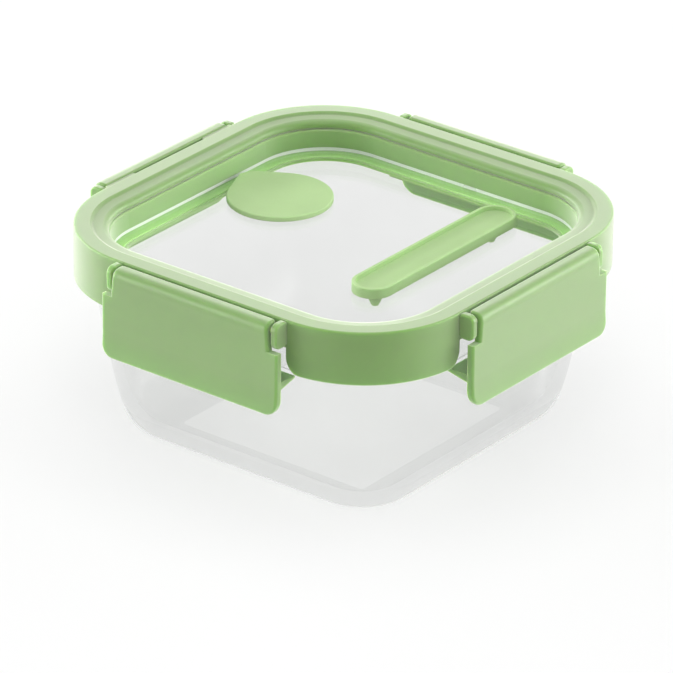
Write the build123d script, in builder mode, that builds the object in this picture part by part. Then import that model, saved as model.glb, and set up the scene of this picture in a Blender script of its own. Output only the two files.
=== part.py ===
"""Square snap-lid food container: glass body, framed window lid with four hinged clips.

Frame: origin at the centre of the base, +Z up, +Y towards the back, millimetres.
Heights inside the lid are written as depths below the lid's top face.
"""

import os
from math import atan2, cos, degrees, radians, sin

from build123d import *

os.makedirs("parts", exist_ok=True)

# ---------------------------------------------------------------- driving dimensions
overall_height = 80.5        # base to the lid's flat top band
lid_half = 80.0              # half the width of the lid frame
corner_centre = 39.0         # every rounded square turns about (+-39, +-39)
skirt_depth = 20.3           # lower edge of the lid's skirt
skirt_wall = 2.2
well_outer = 69.5            # outside of the lid's plug wall, half width
well_bottom = 16.2           # depth of the plug's underside
window_half = 62.5           # clear opening of the ledge under the window
channel_ceiling = 4.4        # depth of the roof over the glass rim

rim_top = 9.5                # depth of the top of the glass rim
rim_outer = 76.5
rim_inner = 70.2
rim_underside = 21.6
glass_wall = 3.8
glass_floor = 4.2

pane_top = 12.5              # depth of the window's upper face
pane_thickness = 2.0

hinge_out = 84.1             # clip hinge axis, distance from the centre
hinge_depth = 3.1            # the axis below the lid's top
pin_radius = 1.1
running_gap = 0.05
pin_end = 36.6               # half length of a hinge pin
clip_face = 87.2             # outer face of a closed clip
clip_wall = 2.6
clip_half = 39.1             # half width of the clip below the ears
clip_neck_half = 34.2        # half width of the clip between the ears, at the top
clip_neck_flare = 0.9        # how much wider the neck gets down to the notch
clip_notch = 10.5            # depth where the clip widens
clip_bottom = 34.3
ear_inner = 35.3
ear_outer = 37.9
ear_face = 86.0
ear_top = 0.2
ear_bottom = 9.8

valve_radius = 19.4
valve_thickness = 2.0
valve_centre = (-42.3, 16.5)
valve_turn = 161.0           # direction from the flap's centre to its hinge tab, degrees
valve_hinge = 19.2           # hinge line, distance from the flap's centre
valve_reach = 23.3           # end of the tab
valve_tab_half = 3.4

strip_radius = 7.6
strip_x = 30.0
strip_front = -21.7
strip_back = 49.4
strip_height = 3.8

sides = {"right": 0.0, "back": 90.0, "left": 180.0, "front": 270.0}


# ---------------------------------------------------------------- shared geometry
def height(depth):
    """Height above the base of a level given as a depth below the lid's top."""
    return overall_height - depth


def section_plane(angle):
    """Upright plane through the centre: x points out through a side, y points up."""
    a = radians(angle)
    return Plane(origin=(0, 0, 0), x_dir=(cos(a), sin(a), 0), z_dir=(sin(a), -cos(a), 0))


def side_plane(angle, distance):
    """Plane facing out of a side at a distance: x runs along the side, y points up."""
    a = radians(angle)
    out = Vector(cos(a), sin(a), 0)
    return Plane(origin=out * distance, x_dir=(-sin(a), cos(a), 0), z_dir=out)


def rounded_square(half):
    """Rounded square whose corners turn about the shared corner centres."""
    return RectangleRounded(2 * half, 2 * half, half - corner_centre)


def around(half):
    """Closed path round the object at the given half width, starting on the right side."""
    c = corner_centre
    radius = half - c
    Line((half, 0), (half, c))
    CenterArc((c, c), radius, 0, 90)
    Line((c, half), (-c, half))
    CenterArc((-c, c), radius, 90, 90)
    Line((-half, c), (-half, -c))
    CenterArc((-c, -c), radius, 180, 90)
    Line((-c, -half), (c, -half))
    CenterArc((c, -c), radius, 270, 90)
    Line((half, -c), (half, 0))


# ---------------------------------------------------------------- glass container
foot_half = 51.0             # where the flat foot meets the rounded lower edge
foot_recess_half = 44.0
foot_recess = 0.6
wall_foot_half = 67.4        # outer wall where the rounding ends
wall_foot_height = 28.5
wall_neck_half = 72.0        # outer wall under the rim
wall_neck_height = 52.5
floor_half = 41.0            # the floor plate inside the swept wall
foot_pull = 11.0             # handles of the outer and inner curves between foot and wall
wall_pull = 17.0
floor_pull = 10.0
inner_pull = 14.2
rim_bead = 2.0               # rounding of the rim's upper edges
rim_under = 1.6              # rounding under the rim's outer edge
draft = (wall_neck_half - wall_foot_half) / (wall_neck_height - wall_foot_height)

with BuildPart() as glass_container:
    with BuildLine():
        around(rim_outer)
    with BuildSketch(section_plane(0)):
        with BuildLine():
            Line((floor_half, foot_recess), (foot_recess_half, foot_recess))
            Line((foot_recess_half, foot_recess), (foot_recess_half + 1, 0))
            Line((foot_recess_half + 1, 0), (foot_half, 0))
            Bezier((foot_half, 0), (foot_half + foot_pull, 0),
                   (wall_foot_half - draft * wall_pull, wall_foot_height - wall_pull),
                   (wall_foot_half, wall_foot_height))
            Line((wall_foot_half, wall_foot_height), (wall_neck_half, wall_neck_height))
            Spline((wall_neck_half, wall_neck_height),
                   (wall_neck_half + 0.75, wall_neck_height + 3.6),
                   (rim_outer - rim_under, height(rim_underside)),
                   tangents=((wall_neck_half - wall_foot_half, wall_neck_height - wall_foot_height),
                             (1, 0.1)))
            TangentArc((rim_outer - rim_under, height(rim_underside)),
                       (rim_outer, height(rim_underside) + rim_under + 0.1), tangent=(1, 0.1))
            bead = height(rim_top) - rim_bead
            Line((rim_outer, height(rim_underside) + rim_under + 0.1), (rim_outer, bead))
            RadiusArc((rim_outer, bead), (rim_outer - rim_bead, height(rim_top)), -rim_bead)
            Line((rim_outer - rim_bead, height(rim_top)), (rim_inner + rim_bead, height(rim_top)))
            RadiusArc((rim_inner + rim_bead, height(rim_top)), (rim_inner, bead), -rim_bead)
            Line((rim_inner, bead), (rim_inner, height(rim_underside) + 4))
            Spline((rim_inner, height(rim_underside) + 4),
                   (wall_neck_half - glass_wall, wall_neck_height - 1),
                   tangents=((0, -1), (wall_foot_half - wall_neck_half,
                                       wall_foot_height - wall_neck_height)))
            Line((wall_neck_half - glass_wall, wall_neck_height - 1),
                 (wall_foot_half - glass_wall, wall_foot_height))
            Bezier((foot_half - 4, glass_floor), (foot_half - 4 + floor_pull, glass_floor),
                   (wall_foot_half - glass_wall - draft * inner_pull, wall_foot_height - inner_pull),
                   (wall_foot_half - glass_wall, wall_foot_height))
            Line((foot_half - 4, glass_floor), (floor_half, glass_floor))
            Line((floor_half, glass_floor), (floor_half, foot_recess))
        make_face()
    sweep()
    with BuildSketch(Plane.XY.offset(foot_recess)):
        rounded_square(floor_half)
    extrude(amount=glass_floor - foot_recess)

glass_container.part.label = "glass_container"
export_step(glass_container.part, "parts/glass_container.step")


# ---------------------------------------------------------------- lid frame
band_inner = 74.1            # inner edge of the flat top band
step_half = 72.6             # foot of the small step inside the band
step_depth = 0.85
shelf_half = 69.6            # inner edge of the shelf, where it rounds into the lip
shelf_depth = 1.2
lip_round_half = 67.75
lip_round_depth = 2.2
lip_half = 67.4              # inner face of the lip above the retainer
lip_depth = 4.1
pocket_half = 68.05          # pocket that holds retainer, window and gasket
ledge_top = 15.1
cutout_half = 37.5           # opening in the skirt behind each clip
cutout_flare = 6.3           # rounding of the skirt's corners at each opening
ear_middle = height((ear_top + ear_bottom) / 2)
ear_round = 2.6
ear_edge = 0.7               # rounding of an ear's rims
pin_end_gap = 0.1
rib_start = 19.5             # ribs that close the ends of the gap behind the left clip
rib_depth = 0.4
rib_bottom = 2.6
rib_out = 81.15


def on_ear_rim(point):
    """True on an edge round an ear's two side faces, clear of the frame's wall."""
    out = max(abs(point.X), abs(point.Y))
    along = min(abs(point.X), abs(point.Y))
    on_side = min(abs(along - ear_inner), abs(along - ear_outer)) < 0.01
    return on_side and out > lid_half + 0.05


with BuildPart() as lid_frame:
    with BuildLine():
        around(lid_half)
    with BuildSketch(section_plane(0)):
        with BuildLine():
            Polyline((lid_half - skirt_wall, height(skirt_depth)),
                     (lid_half - 0.5, height(skirt_depth)),
                     (lid_half, height(skirt_depth - 0.5)),
                     (lid_half, height(0.7)))
            RadiusArc((lid_half, height(0.7)), (lid_half - 0.7, height(0)), -0.7)
            Line((lid_half - 0.7, height(0)), (band_inner, height(0)))
            Spline((band_inner, height(0)), (step_half, height(step_depth)),
                   tangents=((-1, -0.15), (-1, -0.12)))
            Line((step_half, height(step_depth)), (shelf_half, height(shelf_depth)))
            Spline((shelf_half, height(shelf_depth)), (lip_round_half, height(lip_round_depth)),
                   (lip_half, height(lip_depth - 0.4)), tangents=((-1, -0.12), (0, -1)))
            Polyline((lip_half, height(lip_depth - 0.4)), (lip_half + 0.3, height(lip_depth)),
                     (pocket_half, height(lip_depth)),
                     (pocket_half, height(ledge_top)),
                     (window_half, height(ledge_top)),
                     (window_half, height(well_bottom)),
                     (well_outer - 1, height(well_bottom)),
                     (well_outer, height(well_bottom - 1)),
                     (well_outer, height(channel_ceiling)),
                     (lid_half - skirt_wall, height(channel_ceiling)),
                     (lid_half - skirt_wall, height(skirt_depth)))
        make_face()
    sweep()
    for angle in sides.values():
        with BuildSketch(side_plane(angle, lid_half - skirt_wall - 0.6)):
            with BuildLine():
                low = height(skirt_depth)
                Line((-cutout_half, height(clip_notch)), (cutout_half, height(clip_notch)))
                Line((cutout_half, height(clip_notch)), (cutout_half, low + cutout_flare))
                RadiusArc((cutout_half, low + cutout_flare), (cutout_half + cutout_flare, low),
                          -cutout_flare)
                Polyline((cutout_half + cutout_flare, low), (cutout_half + cutout_flare, low - 1),
                         (-cutout_half - cutout_flare, low - 1),
                         (-cutout_half - cutout_flare, low))
                RadiusArc((-cutout_half - cutout_flare, low), (-cutout_half, low + cutout_flare),
                          -cutout_flare)
                Line((-cutout_half, low + cutout_flare), (-cutout_half, height(clip_notch)))
            make_face()
        extrude(amount=skirt_wall + 1.2, mode=Mode.SUBTRACT)
    for angle in sides.values():
        for end in (-1, 1):
            start = ear_inner if end > 0 else -ear_outer
            with BuildSketch(section_plane(angle).offset(-start)):
                with Locations(((lid_half - 1 + ear_face) / 2, ear_middle)):
                    RectangleRounded(ear_face - lid_half + 1, ear_bottom - ear_top, ear_round)
                with Locations((lid_half - 0.5, ear_middle)):
                    Rectangle(1, ear_bottom - ear_top)
            extrude(amount=-(ear_outer - ear_inner))
    rims = lid_frame.edges().filter_by(lambda e: e.center().Z > height(ear_bottom + 0.1)
                                       and on_ear_rim(e.center()))
    fillet(rims, ear_edge)
    for angle in sides.values():
        for end in (-1, 1):
            bore = section_plane(angle).offset(-ear_inner if end > 0 else ear_inner)
            with BuildSketch(bore):
                with Locations((hinge_out, height(hinge_depth))):
                    Circle(pin_radius + running_gap)
            extrude(amount=-end * (pin_end + pin_end_gap - ear_inner), mode=Mode.SUBTRACT)
    for end in (-1, 1):
        rib = section_plane(sides["left"]).offset(-rib_start if end > 0 else ear_inner)
        with BuildSketch(rib):
            with BuildLine():
                Polyline((lid_half - 0.3, height(rib_depth)), (rib_out, height(rib_depth)),
                         (lid_half, height(rib_bottom)), (lid_half - 0.3, height(rib_bottom)),
                         close=True)
            make_face()
        extrude(amount=-(ear_inner - rib_start))

lid_frame.part.label = "lid_frame"
export_step(lid_frame.part, "parts/lid_frame.step")


# ---------------------------------------------------------------- window, its retainer and gasket
retainer_top = 4.35
retainer_bottom = 11.2
retainer_inner = 66.6
rest_gap = 0.1               # clearance between a captured ring and the frame's pocket
rim_width = 1.25             # raised clear rim round the window
gasket_inner = 63.4

with BuildPart() as pane_retainer:
    with BuildLine():
        around(lid_half)
    with BuildSketch(section_plane(0)):
        with BuildLine():
            Polyline((pocket_half - rest_gap, height(retainer_top)),
                     (retainer_inner + 0.95, height(retainer_top)),
                     (retainer_inner + 0.45, height(retainer_top + 0.5)),
                     (retainer_inner, height(retainer_bottom)),
                     (pocket_half - rest_gap, height(retainer_bottom)), close=True)
        make_face()
    sweep()

pane_retainer.part.label = "pane_retainer"
export_step(pane_retainer.part, "parts/pane_retainer.step")

valve_plane = Plane(origin=(*valve_centre, height(pane_top)),
                    x_dir=(cos(radians(valve_turn)), sin(radians(valve_turn)), 0), z_dir=(0, 0, 1))
vent_radius = 4.0
nub_radius = 3.2
nub_drop = 1.6
stem_radius = 2.0
stem_drop = 1.2
stem_place = 21.2
neck_radius = 2.2
strip_pegs = ((strip_x, strip_front + 1.2), (strip_x, strip_back - 2.4))

with BuildPart() as lid_pane:
    with BuildSketch(Plane.XY.offset(height(pane_top + pane_thickness))):
        rounded_square(pocket_half - rest_gap)
    extrude(amount=pane_thickness)
    with BuildSketch(Plane.XY.offset(height(pane_top))):
        rounded_square(pocket_half - rest_gap)
        with BuildSketch(mode=Mode.SUBTRACT):
            rounded_square(pocket_half - rest_gap - rim_width)
    extrude(amount=pane_top - retainer_bottom - 0.05)
    with BuildSketch(Plane.XY.offset(height(pane_top))):
        with Locations(*strip_pegs):
            Circle(neck_radius + 0.1)
        with Locations(valve_centre):
            Circle(vent_radius)
    extrude(amount=-pane_thickness, mode=Mode.SUBTRACT)
    with BuildSketch(valve_plane):
        with Locations((stem_place, 0)):
            Circle(stem_radius + running_gap)
    extrude(amount=-stem_drop - 0.1, mode=Mode.SUBTRACT)

lid_pane.part.label = "lid_pane"
export_step(lid_pane.part, "parts/lid_pane.step")

with BuildPart() as pane_gasket:
    with BuildSketch(Plane.XY.offset(height(ledge_top))):
        rounded_square(pocket_half - rest_gap)
        with BuildSketch(mode=Mode.SUBTRACT):
            rounded_square(gasket_inner)
    extrude(amount=ledge_top - pane_top - pane_thickness)

pane_gasket.part.label = "pane_gasket"
export_step(pane_gasket.part, "parts/pane_gasket.step")


# ---------------------------------------------------------------- seal on the glass rim
seal_inner = 70.3
seal_outer = 76.7
seal_waist = 7.6
seal_foot = rim_top - 0.05

with BuildPart() as lid_seal:
    with BuildLine():
        around(lid_half)
    with BuildSketch(section_plane(0)):
        with BuildLine():
            Polyline((seal_inner, height(channel_ceiling)), (seal_outer, height(channel_ceiling)),
                     (seal_outer, height(seal_waist)), (seal_outer - 0.8, height(seal_foot)),
                     (seal_outer - 1.7, height(seal_foot)), (seal_outer - 2.4, height(seal_waist)),
                     (seal_inner + 2.4, height(seal_waist)), (seal_inner + 1.7, height(seal_foot)),
                     (seal_inner + 0.8, height(seal_foot)), (seal_inner, height(seal_waist)),
                     close=True)
        make_face()
    sweep()

lid_seal.part.label = "lid_seal"
export_step(lid_seal.part, "parts/lid_seal.step")


# ---------------------------------------------------------------- clips and their hinge pins
clip_inner_side = 81.3       # side of the clip's barrel that faces the frame
barrel_start = 1.9           # depth where the barrel's inner corner starts to round
barrel_bottom = 5.6
barrel_chamfer = 1.3
top_start = 82.3             # flat top of the clip
top_end = 83.8
top_depth = 0.05
shoulder_end = 4.2           # depth where the shoulder meets the flat outer face
hook_top = 22.8
hook_root = 25.8
hook_tip = 75.0
hook_half = 37.6
hook_fillet = 1.2
flare_start = 24.0           # from here down the clip bends out into a finger grip
flare = 0.9
flare_wall = 2.1
clip_corner = 5.0
neck_edge = 1.0              # rounding of the neck's rims
clip_edge = 0.9              # rounding of the outer rim below the neck


def place_on_side(edge, angle):
    """Distance out of the side, distance from its middle and depth of an edge's midpoint."""
    a = radians(angle)
    middle = edge.center()
    along = abs(middle.Y * cos(a) - middle.X * sin(a))
    return middle.X * cos(a) + middle.Y * sin(a), along, overall_height - middle.Z


def on_neck_rim(edge, angle):
    """True on the neck's two side rims: outer face, shoulder, top and inner corner."""
    out, along, depth = place_on_side(edge, angle)
    on_top = out > clip_face - 0.1 or depth < hinge_depth
    return along > clip_neck_half - 0.05 and depth < clip_notch - 0.1 and on_top


def on_grip_rim(edge, angle):
    """True on the outer rim of the wide part: both sides, corners and lower edge."""
    out, along, depth = place_on_side(edge, angle)
    at_end = along > 1 or depth > clip_bottom - 0.1
    return out > clip_face - 0.05 and depth > clip_notch + 0.1 and at_end


for side, angle in sides.items():
    with BuildPart() as clip:
        inner = clip_face - clip_wall
        with BuildSketch(section_plane(angle).offset(-clip_half)):
            with BuildLine():
                Line((top_start, height(top_depth)), (top_end, height(top_depth)))
                Spline((top_end, height(top_depth)), (clip_face, height(shoulder_end)),
                       tangents=((1, 0), (0, -1)))
                Line((clip_face, height(shoulder_end)), (clip_face, height(flare_start)))
                Spline((clip_face, height(flare_start)), (clip_face + flare, height(clip_bottom)),
                       tangents=((0, -1), (0.15, -1)))
                Line((clip_face + flare, height(clip_bottom)),
                     (clip_face + flare - flare_wall, height(clip_bottom)))
                Spline((clip_face + flare - flare_wall, height(clip_bottom)),
                       (inner, height(hook_root + 1.5)), tangents=((-0.15, 1), (0, 1)))
                Polyline((inner, height(hook_root + 1.5)), (inner, height(barrel_bottom)),
                         (hinge_out - 1, height(barrel_bottom)),
                         (clip_inner_side, height(barrel_bottom - barrel_chamfer)),
                         (clip_inner_side, height(barrel_start)))
                Spline((clip_inner_side, height(barrel_start)), (top_start, height(top_depth)),
                       tangents=((0, 1), (1, 0)))
            make_face()
        extrude(amount=2 * clip_half)
        with BuildSketch(side_plane(angle, lid_half - 10)):
            with BuildLine():
                neck_foot_half = clip_neck_half + clip_neck_flare
                Polyline((-clip_neck_half, height(0)), (clip_neck_half, height(0)),
                         (neck_foot_half, height(clip_notch)), (clip_half, height(clip_notch)),
                         (clip_half, height(clip_bottom)), (-clip_half, height(clip_bottom)),
                         (-clip_half, height(clip_notch)), (-neck_foot_half, height(clip_notch)),
                         (-clip_neck_half, height(0)))
            make_face()
            fillet(vertices().group_by(Axis.Y)[0], clip_corner)
        extrude(amount=20, mode=Mode.INTERSECT)
        fillet(clip.edges().filter_by(lambda e: on_neck_rim(e, angle)), neck_edge)
        fillet(clip.edges().filter_by(lambda e: on_grip_rim(e, angle)), clip_edge)
        with BuildSketch(section_plane(angle).offset(-hook_half)):
            with BuildLine():
                Polyline((inner + 0.5, height(hook_root + hook_fillet)),
                         (inner, height(hook_root + hook_fillet)),
                         (inner - hook_fillet, height(hook_root)),
                         (hook_tip, height(hook_top + 1.1)), (hook_tip + 0.1, height(hook_top + 0.25)),
                         (hook_tip + 0.5, height(hook_top)), (inner + 0.5, height(hook_top)),
                         close=True)
            make_face()
        extrude(amount=2 * hook_half)
        with BuildSketch(section_plane(angle).offset(-clip_half)):
            with Locations((hinge_out, height(hinge_depth))):
                Circle(pin_radius + running_gap)
        extrude(amount=2 * clip_half, mode=Mode.SUBTRACT)
    name = f"clip_{side}"
    clip.part.label = name
    export_step(clip.part, f"parts/{name}.step")

    with BuildPart() as pin:
        with BuildSketch(section_plane(angle).offset(-pin_end)):
            with Locations((hinge_out, height(hinge_depth))):
                Circle(pin_radius)
        extrude(amount=2 * pin_end)
        chamfer(pin.faces().filter_by(GeomType.PLANE).edges(), 0.3)
    name = f"hinge_pin_{side}"
    pin.part.label = name
    export_step(pin.part, f"parts/{name}.step")


# ---------------------------------------------------------------- steam flap and its fixed tab
hinge_gap = 0.12

with BuildPart() as vent_flap:
    with BuildSketch(valve_plane):
        Circle(valve_radius)
        with Locations((valve_reach - 1.5, 0)):
            RectangleRounded(3, 2 * valve_tab_half, 1.2)
        make_hull()
        with Locations((valve_hinge + 20, 0)):
            Rectangle(40, 60, mode=Mode.SUBTRACT)
    extrude(amount=valve_thickness)
    with BuildSketch(valve_plane):
        Circle(nub_radius)
    extrude(amount=-nub_drop, taper=12)

vent_flap.part.label = "vent_flap"
export_step(vent_flap.part, "parts/vent_flap.step")

with BuildPart() as flap_anchor:
    with BuildSketch(valve_plane):
        Circle(valve_radius)
        with Locations((valve_reach - 1.5, 0)):
            RectangleRounded(3, 2 * valve_tab_half, 1.2)
        make_hull()
        with Locations((valve_hinge + hinge_gap - 40, 0)):
            Rectangle(80, 60, mode=Mode.SUBTRACT)
    extrude(amount=valve_thickness)
    with BuildSketch(valve_plane):
        with Locations((stem_place, 0)):
            Circle(stem_radius)
    extrude(amount=-stem_drop)

flap_anchor.part.label = "flap_anchor"
export_step(flap_anchor.part, "parts/flap_anchor.step")


# ---------------------------------------------------------------- plug strip
strip_rim = 1.3
strip_dish = 1.6
barb_radius = 3.7
barb_tip = 1.35
barb_drop = 5.2
strip_middle = (strip_x, (strip_front + strip_back) / 2)
strip_span = strip_back - strip_front

with BuildPart() as vent_strip:
    with BuildSketch(Plane.XY.offset(height(pane_top))):
        with Locations(strip_middle):
            SlotCenterToCenter(strip_span, 2 * strip_radius, rotation=90)
    extrude(amount=strip_height)
    fillet(vent_strip.faces().sort_by(Axis.Z)[-1].edges(), 0.4)
    with BuildSketch(Plane.XY.offset(height(pane_top) + strip_height)):
        with Locations(strip_middle):
            SlotCenterToCenter(strip_span, 2 * (strip_radius - strip_rim), rotation=90)
    extrude(amount=-strip_dish, mode=Mode.SUBTRACT)
    with BuildSketch(Plane.XY.offset(height(pane_top))):
        with Locations(*strip_pegs):
            Circle(neck_radius)
    extrude(amount=-pane_thickness - 0.2)
    with BuildSketch(Plane.XY.offset(height(pane_top + pane_thickness + 0.1))):
        with Locations(*strip_pegs):
            Circle(barb_radius)
    extrude(amount=-barb_drop, taper=degrees(atan2(barb_radius - barb_tip, barb_drop)))

vent_strip.part.label = "vent_strip"
export_step(vent_strip.part, "parts/vent_strip.step")
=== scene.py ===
"""Looks of the square snap-lid food container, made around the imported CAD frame. Metres, +Z up."""
from math import acos, atan2, cos, pi, radians, sin

import bmesh
import bpy
from mathutils import Matrix, Vector


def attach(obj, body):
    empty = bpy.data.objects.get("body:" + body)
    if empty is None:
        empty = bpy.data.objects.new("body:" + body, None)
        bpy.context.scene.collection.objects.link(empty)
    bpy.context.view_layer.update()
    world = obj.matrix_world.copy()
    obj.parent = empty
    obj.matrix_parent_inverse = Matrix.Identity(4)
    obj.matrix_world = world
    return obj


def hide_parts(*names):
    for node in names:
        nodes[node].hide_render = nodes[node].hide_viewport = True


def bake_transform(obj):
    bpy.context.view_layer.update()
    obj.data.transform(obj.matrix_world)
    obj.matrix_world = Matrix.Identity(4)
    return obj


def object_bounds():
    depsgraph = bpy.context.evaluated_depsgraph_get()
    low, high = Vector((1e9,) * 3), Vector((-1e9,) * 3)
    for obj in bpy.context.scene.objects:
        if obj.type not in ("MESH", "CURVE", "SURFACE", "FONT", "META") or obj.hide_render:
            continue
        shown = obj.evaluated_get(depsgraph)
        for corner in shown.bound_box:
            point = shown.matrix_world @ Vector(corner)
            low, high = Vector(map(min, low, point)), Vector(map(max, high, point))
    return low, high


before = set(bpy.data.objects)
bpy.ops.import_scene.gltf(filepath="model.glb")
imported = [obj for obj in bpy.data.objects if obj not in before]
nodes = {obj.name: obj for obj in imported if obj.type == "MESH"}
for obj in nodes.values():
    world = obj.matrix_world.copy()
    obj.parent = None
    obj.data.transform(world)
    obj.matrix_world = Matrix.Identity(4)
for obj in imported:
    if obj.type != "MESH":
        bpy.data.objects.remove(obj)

cad_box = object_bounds()
MM = 0.001
SIDES = ("right", "back", "left", "front")


# ---------------------------------------------------------------- camera
LID_TOP = cad_box[1][2]
VIEW_AZIMUTH = radians(37.9)
VIEW_ELEVATION = radians(24.95)
VIEW_ROLL = radians(-0.56)
VIEW_DISTANCE = 2.2
LENS = 332.2                 # mm on a 36 mm sensor
AIM_LEFT = 0.00276           # the view's middle, measured from the middle of the lid's top
AIM_DOWN = 0.04329


def make_camera():
    back = Vector((sin(VIEW_AZIMUTH) * cos(VIEW_ELEVATION),
                   -cos(VIEW_AZIMUTH) * cos(VIEW_ELEVATION), sin(VIEW_ELEVATION)))
    level = Vector((cos(VIEW_AZIMUTH), sin(VIEW_AZIMUTH), 0))
    upright = back.cross(level)
    right = level * cos(VIEW_ROLL) - upright * sin(VIEW_ROLL)
    up = level * sin(VIEW_ROLL) + upright * cos(VIEW_ROLL)
    lid_middle = Vector((0, 0, LID_TOP))
    place = lid_middle + back * VIEW_DISTANCE
    back = (place - lid_middle + right * AIM_LEFT + up * AIM_DOWN).normalized()
    right = up.cross(back).normalized()
    up = back.cross(right)
    data = bpy.data.cameras.new("camera")
    data.lens = LENS
    data.sensor_width = 36.0
    data.clip_start = 0.05
    data.clip_end = 100.0
    camera = bpy.data.objects.new("camera", data)
    turn = Matrix((right, up, back)).transposed().to_4x4()
    camera.matrix_world = Matrix.Translation(place) @ turn
    bpy.context.scene.collection.objects.link(camera)
    bpy.context.scene.camera = camera


make_camera()


# ---------------------------------------------------------------- node helpers
def new_material(name):
    """Returns (material, tree, shader) of a material that has only its Principled shader."""
    material = bpy.data.materials.new(name)
    material.use_nodes = True
    tree = material.node_tree
    return material, tree, tree.nodes["Principled BSDF"]


def object_coordinates(tree):
    return tree.nodes.new("ShaderNodeTexCoord").outputs["Object"]


def noise(tree, coordinates, scale, detail=2.0, roughness=0.5):
    node = tree.nodes.new("ShaderNodeTexNoise")
    node.inputs["Scale"].default_value = scale
    node.inputs["Detail"].default_value = detail
    node.inputs["Roughness"].default_value = roughness
    tree.links.new(coordinates, node.inputs["Vector"])
    return node.outputs["Fac"]


def remap(tree, value, low, high):
    """Maps 0.3..0.7 of a noise to low..high."""
    node = tree.nodes.new("ShaderNodeMapRange")
    node.inputs["From Min"].default_value = 0.3
    node.inputs["From Max"].default_value = 0.7
    node.inputs["To Min"].default_value = low
    node.inputs["To Max"].default_value = high
    tree.links.new(value, node.inputs["Value"])
    return node.outputs["Result"]


def tint(tree, value, dark, light):
    """Mixes two colours by a noise."""
    node = tree.nodes.new("ShaderNodeMix")
    node.data_type = "RGBA"
    node.inputs["A"].default_value = (*dark, 1)
    node.inputs["B"].default_value = (*light, 1)
    tree.links.new(value, node.inputs["Factor"])
    return node.outputs["Result"]


def bump(tree, value, distance, strength=1.0):
    node = tree.nodes.new("ShaderNodeBump")
    node.inputs["Distance"].default_value = distance
    node.inputs["Strength"].default_value = strength
    tree.links.new(value, node.inputs["Height"])
    return node.outputs["Normal"]


# ---------------------------------------------------------------- materials
SHEEN = 1.0                  # satin plastic's pale look at flat angles, from the shader's own sheen
SHEEN_ROUGHNESS = 0.51
SHEEN_TINT = (1.0, 1.0, 0.93, 1)
PLASTIC_DEPTH = 0.005        # m, how far light spreads inside
SILICONE_DEPTH = 0.0018
GRAIN_HEIGHT = 0.00001       # m, moulded surface grain
SHADE_SPREAD = 0.03          # colour drift of a moulded piece, either way
GLASS_RIPPLE = 0.00003       # m
HAZE_FROM, HAZE_TO = 0.0045, 0.012   # m, heights between which the glass foot clears


def shade_pair(colour):
    """The darker and the lighter end of a colour's drift."""
    dark = tuple(c * (1 - SHADE_SPREAD) for c in colour)
    light = tuple(min(c * (1 + SHADE_SPREAD), 1) for c in colour)
    return dark, light


def moulded_plastic(name, colour, roughness):
    """Satin moulded polypropylene: fine spark-eroded grain, faint flow shades and uneven gloss."""
    material, tree, shader = new_material(name)
    place = object_coordinates(tree)
    flow = noise(tree, place, 28.0, 3.0)
    shade = tint(tree, remap(tree, flow, 0, 1), *shade_pair(colour))
    tree.links.new(shade, shader.inputs["Base Color"])
    gloss = noise(tree, place, 160.0, 4.0, 0.6)
    uneven = remap(tree, gloss, roughness - 0.04, roughness + 0.04)
    tree.links.new(uneven, shader.inputs["Roughness"])
    grain = noise(tree, place, 5200.0, 2.0, 0.6)
    tree.links.new(bump(tree, grain, GRAIN_HEIGHT, 0.6), shader.inputs["Normal"])
    shader.inputs["IOR"].default_value = 1.49
    shader.inputs["Sheen Weight"].default_value = SHEEN
    shader.inputs["Sheen Roughness"].default_value = SHEEN_ROUGHNESS
    shader.inputs["Sheen Tint"].default_value = SHEEN_TINT
    shader.inputs["Subsurface Weight"].default_value = 1.0
    shader.inputs["Subsurface Radius"].default_value = (0.9, 1.4, 0.6)
    shader.inputs["Subsurface Scale"].default_value = PLASTIC_DEPTH
    return material


def silicone(name, colour):
    """Matt silicone: softer light inside, fine powdery grain."""
    material, tree, shader = new_material(name)
    place = object_coordinates(tree)
    cloud = noise(tree, place, 60.0, 3.0)
    shade = tint(tree, remap(tree, cloud, 0, 1), *shade_pair(colour))
    tree.links.new(shade, shader.inputs["Base Color"])
    dust = noise(tree, place, 900.0, 3.0, 0.6)
    tree.links.new(remap(tree, dust, 0.5, 0.6), shader.inputs["Roughness"])
    grain = noise(tree, place, 4200.0, 2.0, 0.6)
    tree.links.new(bump(tree, grain, GRAIN_HEIGHT, 0.6), shader.inputs["Normal"])
    shader.inputs["IOR"].default_value = 1.43
    shader.inputs["Subsurface Weight"].default_value = 0.2
    shader.inputs["Subsurface Radius"].default_value = (1.0, 1.6, 0.7)
    shader.inputs["Subsurface Scale"].default_value = SILICONE_DEPTH
    return material


def clear(name, colour, ior, roughness, ripple, ripple_scale):
    """Clear plastic: a near-clear body with slow ripples in its faces and a trace of haze."""
    material, tree, shader = new_material(name)
    place = object_coordinates(tree)
    haze = noise(tree, place, 40.0, 3.0)
    tree.links.new(remap(tree, haze, roughness * 0.5, roughness * 1.5), shader.inputs["Roughness"])
    waves = noise(tree, place, ripple_scale, 1.0)
    tree.links.new(bump(tree, waves, ripple, 0.5), shader.inputs["Normal"])
    shader.inputs["Base Color"].default_value = (*colour, 1)
    shader.inputs["Transmission Weight"].default_value = 1.0
    shader.inputs["IOR"].default_value = ior
    let_light_through(tree, shader.outputs["BSDF"], colour)
    return material


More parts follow.
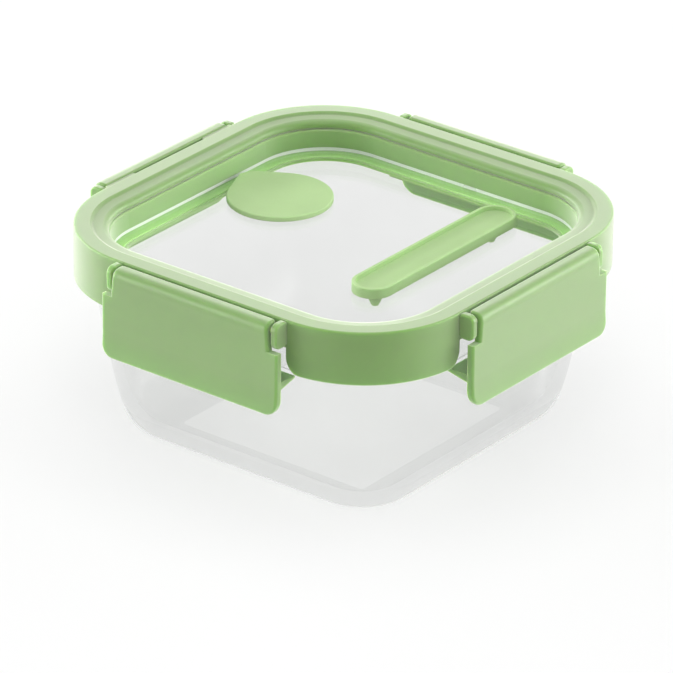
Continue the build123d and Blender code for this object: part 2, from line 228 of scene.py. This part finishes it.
def let_light_through(tree, surface, colour):
    """Lamps shine through the piece onto what lies behind it."""
    path = tree.nodes.new("ShaderNodeLightPath")
    passing = tree.nodes.new("ShaderNodeBsdfTransparent")
    passing.inputs["Color"].default_value = (*colour, 1)
    mix = tree.nodes.new("ShaderNodeMixShader")
    tree.links.new(path.outputs["Is Shadow Ray"], mix.inputs["Fac"])
    tree.links.new(surface, mix.inputs[1])
    tree.links.new(passing.outputs["BSDF"], mix.inputs[2])
    tree.links.new(mix.outputs["Shader"], tree.nodes["Material Output"].inputs["Surface"])


def foot_haze(tree, place):
    """Gloss roughness of pressed glass: clearer walls, a hazier foot."""
    height = tree.nodes.new("ShaderNodeSeparateXYZ")
    tree.links.new(place, height.inputs["Vector"])
    haze = tree.nodes.new("ShaderNodeMapRange")
    haze.inputs["From Min"].default_value = HAZE_FROM
    haze.inputs["From Max"].default_value = HAZE_TO
    haze.inputs["To Min"].default_value = 0.45
    haze.inputs["To Max"].default_value = 0.25
    tree.links.new(height.outputs["Z"], haze.inputs["Value"])
    return haze.outputs["Result"]


def thin_glass(name, colour, ior, ripple, gloss_share):
    """Even-walled glass seen without bending: clear, with a gloss on its outer side only."""
    material, tree, shader = new_material(name)
    tree.nodes.remove(shader)
    place = object_coordinates(tree)
    waves = noise(tree, place, 18.0, 1.0)
    normal = bump(tree, waves, ripple, 0.5)
    through = tree.nodes.new("ShaderNodeBsdfTransparent")
    cloud = noise(tree, place, 30.0, 2.0)
    shade = tint(tree, remap(tree, cloud, 0, 1), tuple(c * 0.99 for c in colour), colour)
    tree.links.new(shade, through.inputs["Color"])
    gloss = tree.nodes.new("ShaderNodeBsdfGlossy")
    tree.links.new(foot_haze(tree, place), gloss.inputs["Roughness"])
    gloss.inputs["Color"].default_value = (1, 1, 1, 1)
    tree.links.new(normal, gloss.inputs["Normal"])
    fresnel = tree.nodes.new("ShaderNodeFresnel")
    fresnel.inputs["IOR"].default_value = ior
    tree.links.new(normal, fresnel.inputs["Normal"])
    inside = tree.nodes.new("ShaderNodeNewGeometry").outputs["Backfacing"]
    outer_only = tree.nodes.new("ShaderNodeMath")
    outer_only.operation = "MULTIPLY"
    outside = tree.nodes.new("ShaderNodeMapRange")
    outside.inputs["To Min"].default_value = gloss_share
    outside.inputs["To Max"].default_value = 0.0
    tree.links.new(inside, outside.inputs["Value"])
    tree.links.new(fresnel.outputs["Fac"], outer_only.inputs[0])
    tree.links.new(outside.outputs["Result"], outer_only.inputs[1])
    mix = tree.nodes.new("ShaderNodeMixShader")
    tree.links.new(outer_only.outputs["Value"], mix.inputs["Fac"])
    tree.links.new(through.outputs["BSDF"], mix.inputs[1])
    tree.links.new(gloss.outputs["BSDF"], mix.inputs[2])
    let_light_through(tree, mix.outputs["Shader"], colour)
    return material


green_plastic = moulded_plastic("green plastic", (0.15, 0.28, 0.062), 0.40)
pin_plastic = moulded_plastic("pin plastic", (0.22, 0.50, 0.08), 0.45)
# Painted light: a lighter, more saturated copy of the green plastic for the pane retainer. It stands
# in for light that bounces between the green walls and passes through them onto its shaded inner
# wall.
painted_light_inner_plastic = moulded_plastic("inner green plastic painted light", (0.23, 0.47, 0.12), 0.40)
green_silicone = silicone("green silicone", (0.40, 0.57, 0.27))
pale_silicone = silicone("pale green silicone", (0.46, 0.78, 0.28))
# Painted highlight: this pale, partly diffuse frost paints the bright line along the window's
# upturned lip and paints over the dark rings at its cut edges.
frosted_rim_painted_highlight = clear("frosted rim painted highlight", (0.90, 0.97, 0.88), 1.49, 0.5, 0.00004, 300.0)
frosted_rim_painted_highlight.node_tree.nodes["Principled BSDF"].inputs["Transmission Weight"].default_value = 0.35
pressed_glass = thin_glass("pressed glass", (0.922, 0.925, 0.923), 1.5, GLASS_RIPPLE, 0.6)
glass_inside = thin_glass("glass inside", (0.99, 0.991, 0.99), 1.5, GLASS_RIPPLE, 0.25)
clear_pane = clear("clear pane", (0.96, 0.963, 0.961), 1.4, 0.004, 0.0002, 14.0)
clear_silicone = clear("clear silicone", (0.93, 0.96, 0.93), 1.41, 0.22, 0.00004, 300.0)

NODE_MATERIALS = {
    "glass_container": pressed_glass,
    "lid_frame": green_plastic,
    "pane_retainer": painted_light_inner_plastic,
    "lid_pane": clear_pane,
    "pane_gasket": pale_silicone,
    "lid_seal": clear_silicone,
    "flap_anchor": green_silicone,
    "vent_flap": green_silicone,
    "vent_strip": green_silicone,
}
for side in SIDES:
    NODE_MATERIALS[f"clip_{side}"] = green_plastic
    NODE_MATERIALS[f"hinge_pin_{side}"] = pin_plastic

for name, material in NODE_MATERIALS.items():
    node = nodes[name]
    node.data.materials.clear()
    node.data.materials.append(material)


# ---------------------------------------------------------------- mesh helpers
CORNER = 39.0                # rounded squares turn about (+-39, +-39) mm


def bezier(p0, p1, p2, p3, steps):
    """Points of a cubic curve after its first one."""
    points = []
    for i in range(1, steps + 1):
        t = i / steps
        a, b, c, d = (1 - t) ** 3, 3 * t * (1 - t) ** 2, 3 * t * t * (1 - t), t ** 3
        points.append((a * p0[0] + b * p1[0] + c * p2[0] + d * p3[0],
                       a * p0[1] + b * p1[1] + c * p2[1] + d * p3[1]))
    return points


def arc(centre, radius, start, end, steps):
    """Points of an arc after its first one; angles in degrees."""
    points = []
    for i in range(1, steps + 1):
        t = radians(start + (end - start) * i / steps)
        points.append((centre[0] + radius * cos(t), centre[1] + radius * sin(t)))
    return points


def square_ring(bm, half, z, steps):
    """One ring of vertices on a rounded square, millimetres in."""
    ring = []
    for quarter in range(4):
        for i in range(steps + 1):
            t = pi / 2 * i / steps
            x = CORNER + (half - CORNER) * cos(t)
            y = CORNER + (half - CORNER) * sin(t)
            for _ in range(quarter):
                x, y = -y, x
            ring.append(bm.verts.new((x * MM, y * MM, z * MM)))
    return ring


def skin(bm, rings, closed):
    """Quads between neighbouring rings."""
    pairs = list(zip(rings, rings[1:]))
    if closed:
        pairs.append((rings[-1], rings[0]))
    for lower, upper in pairs:
        count = len(lower)
        for i in range(count):
            j = (i + 1) % count
            bm.faces.new((lower[i], lower[j], upper[j], upper[i]))


def mesh_object(bm, name, material):
    bmesh.ops.recalc_face_normals(bm, faces=bm.faces)
    data = bpy.data.meshes.new(name)
    bm.to_mesh(data)
    bm.free()
    for face in data.polygons:
        face.use_smooth = True
    data.materials.append(material)
    piece = bpy.data.objects.new(name, data)
    bpy.context.scene.collection.objects.link(piece)
    return piece


# ---------------------------------------------------------------- glass body
def make_glass_body():
    """Pressed glass: flat foot, a long bowl curve into drafted walls, a thick rounded rim."""
    outer = [(41.0, 0.6), (43.9, 0.6), (44.3, 0.45), (44.8, 0.1), (45.3, 0.0), (51.0, 0.0)]
    outer += bezier((51.0, 0.0), (62.0, 0.0), (64.14, 11.5), (67.4, 28.5), 26)
    outer += bezier((67.4, 28.5), (68.93, 36.5), (70.47, 44.5), (72.0, 52.5), 6)
    outer += bezier((72.0, 52.5), (72.6, 55.6), (72.7, 58.4), (74.9, 58.9), 8)
    outer += arc((74.8, 60.6), 1.7, -84, 0, 6)
    outer += [(76.5, 65.0), (76.5, 69.0)]
    outer += arc((74.5, 69.0), 2.0, 0, 90, 6)
    inner = arc((72.2, 69.0), 2.0, 90, 180, 6)
    inner += [(70.2, 66.0), (70.2, 62.9)]
    inner += bezier((70.2, 62.9), (70.2, 58.5), (69.0, 55.5), (68.2, 51.5), 8)
    inner += bezier((68.2, 51.5), (66.7, 43.8), (65.1, 36.2), (63.6, 28.5), 6)
    inner += bezier((63.6, 28.5), (60.88, 14.3), (57.0, 4.2), (47.0, 4.2), 22)
    inner += [(41.0, 4.2)]
    bm = bmesh.new()
    rings = [square_ring(bm, half, z, 40) for half, z in outer + inner]
    skin(bm, rings, False)
    bm.faces.new(rings[0])
    bm.faces.new(rings[-1])
    body = mesh_object(bm, "glass_body", pressed_glass)
    body.data.materials.append(glass_inside)
    outer_faces = (len(outer) - 1) * len(rings[0])
    for face in body.data.polygons[outer_faces:]:
        face.material_index = 1
    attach(body, "glass")
    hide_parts("glass_container")


make_glass_body()


# ---------------------------------------------------------------- window
LIP_HEIGHT = 0.001           # m, the window's upturned edge; it and the cut edges are frosted, and their pale colour is a painted highlight


def make_window():
    """The window in its CAD shape, as a piece of its own so that its edges can be frosted. The
    frost's pale colour is a painted highlight along the upturned lip, and it paints over the dark
    rings at the cut edges.
    """
    node = nodes["lid_pane"]
    mesh = node.data.copy()
    mesh.transform(node.matrix_world)
    piece = bpy.data.objects.new("window", mesh)
    bpy.context.scene.collection.objects.link(piece)
    mesh.materials.append(frosted_rim_painted_highlight)
    lip_foot = max(corner.co.z for corner in mesh.vertices) - LIP_HEIGHT
    for face in mesh.polygons:
        if face.center.z > lip_foot or abs(face.normal.z) < 0.5:
            face.material_index = 1
    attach(piece, "lid")
    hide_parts("lid_pane")


make_window()


# ---------------------------------------------------------------- steam flap
FLAP_CENTRE = (-42.3, 16.5)
FLAP_TURN = radians(161.0)
FLAP_RADIUS = 19.4
FLAP_REACH = 23.3
FLAP_TAB_HALF = 3.4
FLAP_HINGE = 19.2            # bending line, distance from the flap's centre
FLAP_THICKNESS = 2.0
FLAP_ROUND = 0.55            # radius along its upper edge
TAB_CORNER = 1.2
PANE_TOP = 68.0
BEND_CUTS = 13               # cuts across the bending line
BEND_CUT_STEP = 0.3


def flap_point(u, v, z):
    """A point in the flap's own frame, u towards its hinge, as metres in the shared frame."""
    x = FLAP_CENTRE[0] + u * cos(FLAP_TURN) - v * sin(FLAP_TURN)
    y = FLAP_CENTRE[1] + u * sin(FLAP_TURN) + v * cos(FLAP_TURN)
    return x * MM, y * MM, (PANE_TOP + z) * MM


def flap_outline(inset):
    """Teardrop: a disc that runs into a rounded tab along two straight tangents."""
    corner = TAB_CORNER - inset
    tab_u = FLAP_REACH - TAB_CORNER
    tab_v = FLAP_TAB_HALF - TAB_CORNER
    disc = FLAP_RADIUS - inset
    lean = atan2(tab_v, tab_u)
    reach = (tab_u ** 2 + tab_v ** 2) ** 0.5
    touch = lean + acos((disc - corner) / reach)
    outline = []
    for i in range(73):
        t = touch + (2 * pi - 2 * touch) * i / 72
        outline.append((disc * cos(t), disc * sin(t)))
    for i in range(9):
        t = -touch + touch * i / 8
        outline.append((tab_u + corner * cos(t), -tab_v + corner * sin(t)))
    for i in range(9):
        t = touch * i / 8
        outline.append((tab_u + corner * cos(t), tab_v + corner * sin(t)))
    return outline


def make_steam_flap():
    """Flap and its fixed tab in one silicone piece, with the nub that plugs the steam hole."""
    bm = bmesh.new()
    shoulder = FLAP_THICKNESS - FLAP_ROUND
    levels = [(0.25, 0.0), (0.0, 0.25), (0.0, shoulder)]
    levels += arc((FLAP_ROUND, shoulder), FLAP_ROUND, 180, 90, 5)
    rings = []
    for inset, up in levels:
        rings.append([bm.verts.new(flap_point(u, v, up)) for u, v in flap_outline(inset)])
    skin(bm, rings, False)
    bm.faces.new(rings[0])
    bm.faces.new(rings[-1])
    across = Vector(flap_point(1, 0, 0)) - Vector(flap_point(0, 0, 0))
    for i in range(BEND_CUTS):
        cut = Vector(flap_point(FLAP_HINGE - 1.8 + BEND_CUT_STEP * i, 0, 0))
        bmesh.ops.bisect_plane(bm, geom=bm.verts[:] + bm.edges[:] + bm.faces[:], plane_co=cut,
                               plane_no=across)
    nub = []
    for radius, down in ((3.2, 0.0), (3.05, -0.7), (2.95, -1.2), (2.6, -1.5), (1.8, -1.6)):
        nub.append([bm.verts.new(flap_point(radius * cos(pi * i / 16), radius * sin(pi * i / 16),
                                            down))
                    for i in range(32)])
    skin(bm, nub, False)
    bm.faces.new(nub[-1])
    flap = mesh_object(bm, "steam_flap", green_silicone)
    split = flap.modifiers.new("crisp edges", "EDGE_SPLIT")
    split.split_angle = radians(40)
    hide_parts("vent_flap", "flap_anchor")
    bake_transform(flap)


make_steam_flap()


# ---------------------------------------------------------------- floor and light
FLOOR_ALBEDO = 0.36
FLOOR_GLOW = 0.50            # a white table lit from below
FLOOR_GAP = 0.00005          # keeps the foot's face and the table apart


def make_floor():
    bpy.ops.mesh.primitive_plane_add(size=40)
    floor = bpy.context.object
    floor.name = "floor"
    floor.location.z = -FLOOR_GAP
    material, tree, shader = new_material("pale floor")
    shader.inputs["Base Color"].default_value = (FLOOR_ALBEDO, FLOOR_ALBEDO, FLOOR_ALBEDO, 1)
    shader.inputs["Roughness"].default_value = 0.9
    shader.inputs["Specular IOR Level"].default_value = 0.1
    shader.inputs["Emission Color"].default_value = (1, 1, 1, 1)
    shader.inputs["Emission Strength"].default_value = FLOOR_GLOW
    floor.data.materials.append(material)


def softbox(name, place, width, height, watts):
    """A rectangular area light aimed at the container."""
    data = bpy.data.lights.new(name, "AREA")
    data.shape = "RECTANGLE"
    data.size = width
    data.size_y = height
    data.energy = watts
    lamp = bpy.data.objects.new(name, data)
    lamp.location = place
    lamp.rotation_euler = (Vector((0, 0, 0.05)) - Vector(place)).to_track_quat("-Z", "Y").to_euler()
    bpy.context.scene.collection.objects.link(lamp)


def make_world(strength):
    world = bpy.data.worlds.new("studio")
    world.use_nodes = True
    background = world.node_tree.nodes["Background"]
    background.inputs["Color"].default_value = (1, 1, 1, 1)
    background.inputs["Strength"].default_value = strength
    bpy.context.scene.world = world


make_floor()
make_world(0.42)
softbox("top", (0.0, 0.0, 1.6), 1.5, 1.5, 10)
softbox("front", (0.9, -1.15, 1.6), 1.0, 1.0, 11)
softbox("right", (1.4, 0.9, 0.36), 1.8, 0.7, 27)
softbox("right back", (0.45, 1.5, 0.4), 1.0, 0.7, 9)
softbox("back", (-1.0, 1.25, 0.75), 1.2, 1.0, 1)
softbox("left back", (-1.6, 0.3, 0.4), 1.0, 0.7, 10)
softbox("left", (-1.45, -0.85, 0.36), 1.8, 0.7, 31)
bpy.context.scene.view_settings.view_transform = "Standard"
